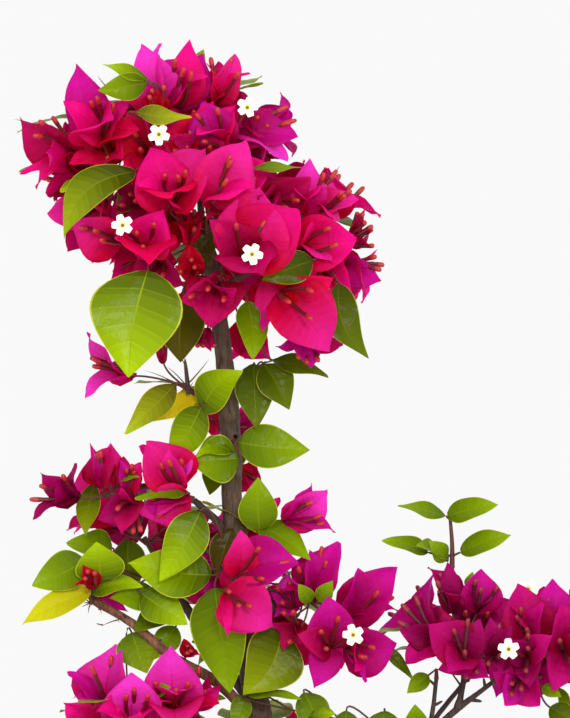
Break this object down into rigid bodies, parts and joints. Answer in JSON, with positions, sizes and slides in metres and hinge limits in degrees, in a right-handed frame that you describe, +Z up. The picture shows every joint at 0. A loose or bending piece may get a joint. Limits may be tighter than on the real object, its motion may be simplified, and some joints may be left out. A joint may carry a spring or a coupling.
{
  "type": "bougainvillea bush",
  "caption": "Flowering bougainvillea bush in a round clay pot: a slim woody stem, boughs, and masses of papery magenta bracts and pointed green leaves.",
  "frame": {"origin": "middle of the pot's flat underside", "axes": "+Z up along the bush, -Y toward the viewer, +X to the viewer's right"},
  "size_m": [0.3387, 0.2444, 0.662],
  "materials": {
    "clay": "matt fired clay",
    "soil": "loose and moist",
    "bark": "ridged grey-brown bark",
    "bract": "papery, let light through",
    "leaf": "slightly glossy"
  },
  "bodies": {
    "root": {"pot": "clay", "soil": "soil", "trunk": "bark", "bough_back_left": "bark", "bough_back_right": "bark", "bough_far_back": "bark", "bough_far_right": "bark", "bough_left": "bark", "bough_left_dry": "bark", "bough_low_back": "bark", "bough_low_front": "bark", "bough_low_left": "bark", "bough_low_right": "bark", "bough_right": "bark", "bough_shoot_right": "bark", "bough_twig_right": "bark", "mass_back_left": "bract", "mass_back_right": "bract", "mass_crown_back": "bract", "mass_crown_front": "bract", "mass_crown_left": "bract", "mass_crown_right": "bract", "mass_crown_top": "bract", "mass_far_back": "bract", "mass_leaves_left": "bract", "mass_leaves_middle": "leaf", "mass_low_back": "bract", "mass_low_front": "bract", "mass_low_right": "bract", "mass_shoot_back": "bract", "mass_shoot_left": "bract", "mass_shoot_low": "leaf", "mass_shoot_right": "leaf", "mass_shoot_top_right": "leaf", "mass_spray_edge_right": "bract", "mass_spray_far_right": "bract", "mass_spray_left": "bract", "mass_spray_low_left": "bract", "mass_spray_right": "bract", "mass_twig_leaf_right": "leaf"}
  },
  "joints": []
}
